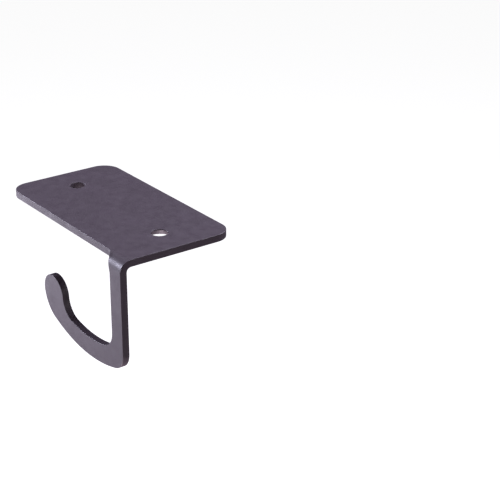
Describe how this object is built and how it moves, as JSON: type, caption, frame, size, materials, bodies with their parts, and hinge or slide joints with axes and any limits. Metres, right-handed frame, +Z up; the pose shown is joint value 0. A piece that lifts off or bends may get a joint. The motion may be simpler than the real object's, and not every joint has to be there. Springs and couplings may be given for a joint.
{
  "type": "headphone hook",
  "caption": "Under-table headphone hook bent from one steel sheet: a rounded screw plate with a narrow strip folded down that sweeps into an upturned J hook, dark powder coat.",
  "frame": {"origin": "middle of the screw plate's top face, the face that lies against the underside of the table", "axes": "+X runs along the plate's long side to the end that carries the hook, -Y is the long side the strip is folded down from, +Z up into the table; the hook hangs down to negative Z and its tip points to -X"},
  "size_m": [0.0762, 0.0429, 0.0404],
  "materials": {
    "powder_coat": "dark warm grey satin powder coat over steel sheet, very fine orange peel"
  },
  "bodies": {
    "root": {"hook_bracket": "powder_coat"}
  },
  "joints": []
}
